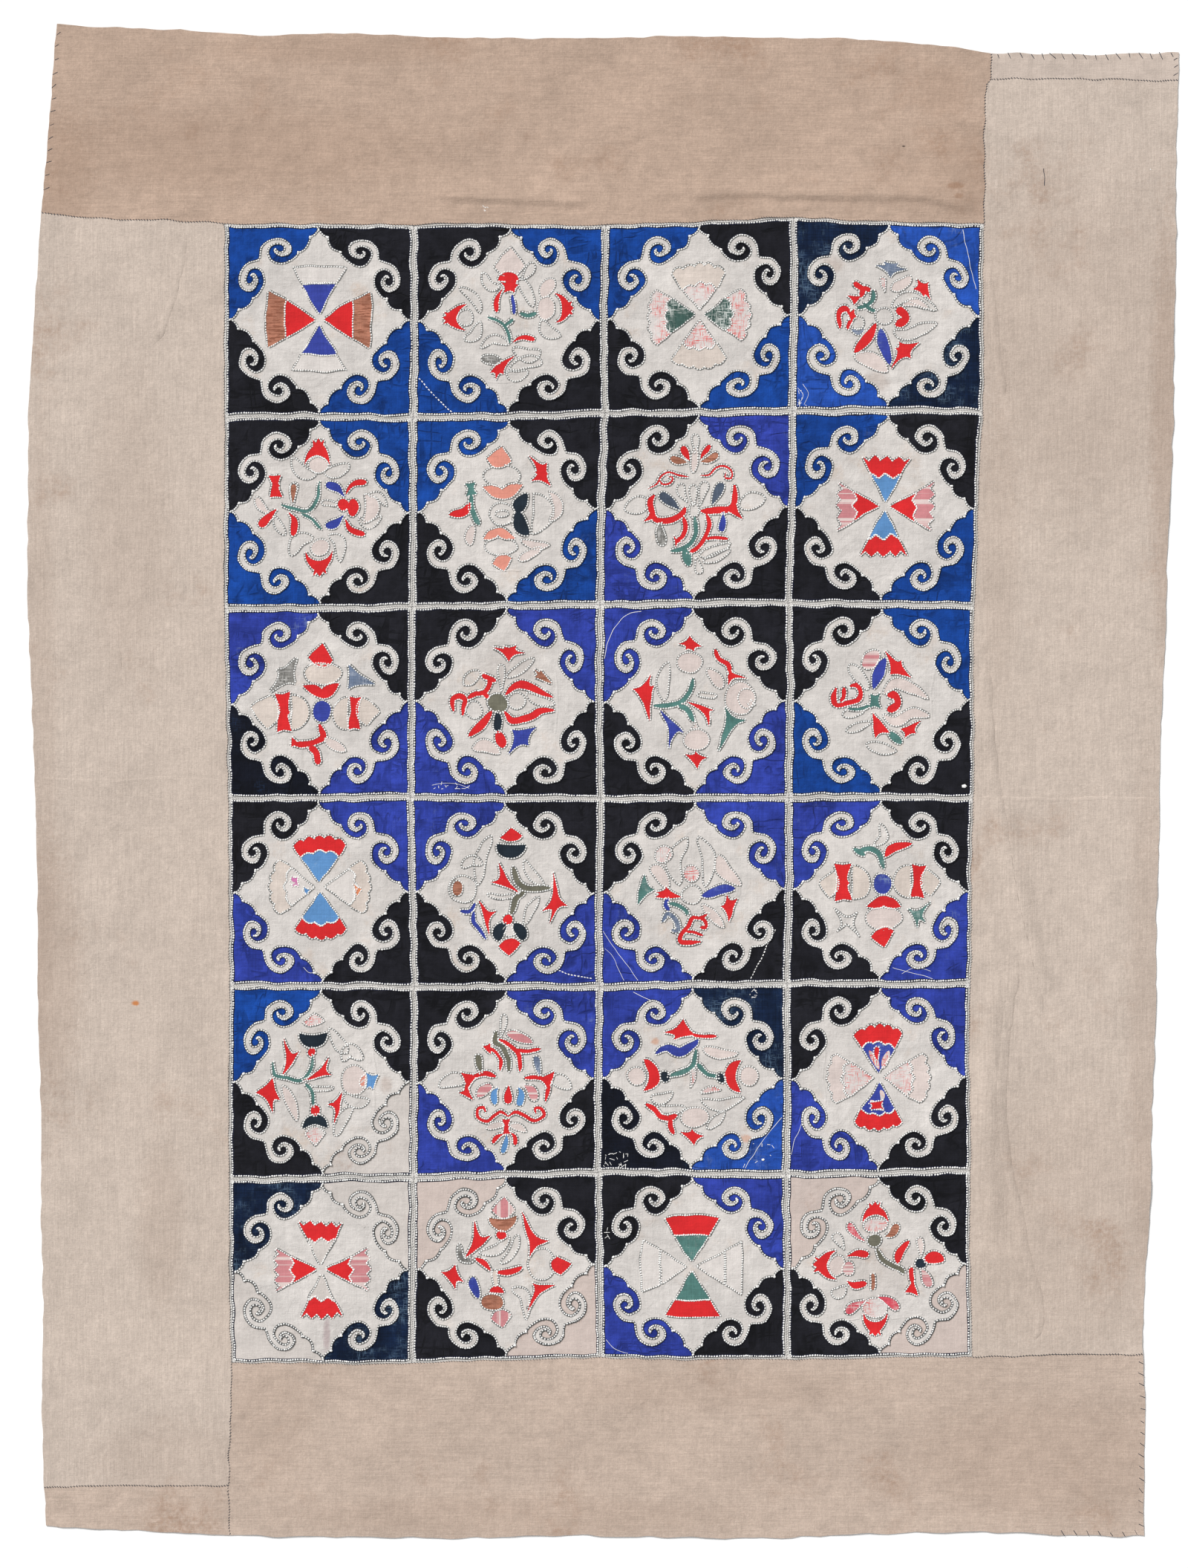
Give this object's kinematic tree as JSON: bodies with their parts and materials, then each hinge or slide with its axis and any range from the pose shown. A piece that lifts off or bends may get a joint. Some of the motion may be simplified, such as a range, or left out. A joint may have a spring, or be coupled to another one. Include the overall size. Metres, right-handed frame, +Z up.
{
  "type": "applique quilt cover",
  "caption": "Flat pieced cotton quilt cover: a grid of blue and black blocks with scrolled white applique fields, flower and leaf patches and couched white cord, in a beige border.",
  "frame": {"origin": "middle of the rectangle that the flat cover fills, on the surface it lies on", "axes": "+Z up out of the face, +Y up the length of the cover, +X across it to the right"},
  "size_m": [1.4574, 1.9156, 0.0072],
  "materials": {
    "border_cotton": "matte, hand-woven plain weave, unevenly stained",
    "blue_cotton": "matte, polished blue dyed cotton",
    "violet_cotton": "matte, violet-blue dyed cotton",
    "black_cotton": "matte, black dyed cotton",
    "navy_cotton": "matte, worn indigo cotton with pale threads",
    "cream_cotton": "matte, faded pinkish cream cotton",
    "field_cotton": "matte, white hand-woven cotton, softly puckered",
    "patch_cotton": "matte, dyed cotton patches",
    "white_cord": "matte, couched white cotton cord",
    "dark_thread": "matte, dark sewing thread"
  },
  "bodies": {
    "root": {"panel_top": "border_cotton", "panel_right": "border_cotton", "panel_bottom": "border_cotton", "panel_left": "border_cotton", "strip_right_top": "border_cotton", "strip_left_bottom": "border_cotton", "block_r1c1": "blue_cotton", "field_r1c1": "field_cotton", "block_r1c2": "black_cotton", "field_r1c2": "field_cotton", "block_r1c3": "blue_cotton", "field_r1c3": "field_cotton", "block_r1c4": "navy_cotton", "field_r1c4": "field_cotton", "block_r2c1": "black_cotton", "field_r2c1": "field_cotton", "block_r2c2": "blue_cotton", "field_r2c2": "field_cotton", "block_r2c3": "black_cotton", "field_r2c3": "field_cotton", "block_r2c4": "blue_cotton", "field_r2c4": "field_cotton", "block_r3c1": "violet_cotton", "field_r3c1": "field_cotton", "block_r3c2": "black_cotton", "field_r3c2": "field_cotton", "block_r3c3": "violet_cotton", "field_r3c3": "field_cotton", "block_r3c4": "black_cotton", "field_r3c4": "field_cotton", "block_r4c1": "black_cotton", "field_r4c1": "field_cotton", "block_r4c2": "violet_cotton", "field_r4c2": "field_cotton", "block_r4c3": "black_cotton", "field_r4c3": "field_cotton", "block_r4c4": "violet_cotton", "field_r4c4": "field_cotton", "block_r5c1": "black_cotton", "field_r5c1": "field_cotton", "block_r5c2": "black_cotton", "field_r5c2": "field_cotton", "block_r5c3": "violet_cotton", "field_r5c3": "field_cotton", "block_r5c4": "black_cotton", "field_r5c4": "field_cotton", "block_r6c1": "navy_cotton", "field_r6c1": "field_cotton", "block_r6c2": "black_cotton", "field_r6c2": "field_cotton", "block_r6c3": "black_cotton", "field_r6c3": "field_cotton", "block_r6c4": "black_cotton", "field_r6c4": "field_cotton"}
  },
  "joints": []
}
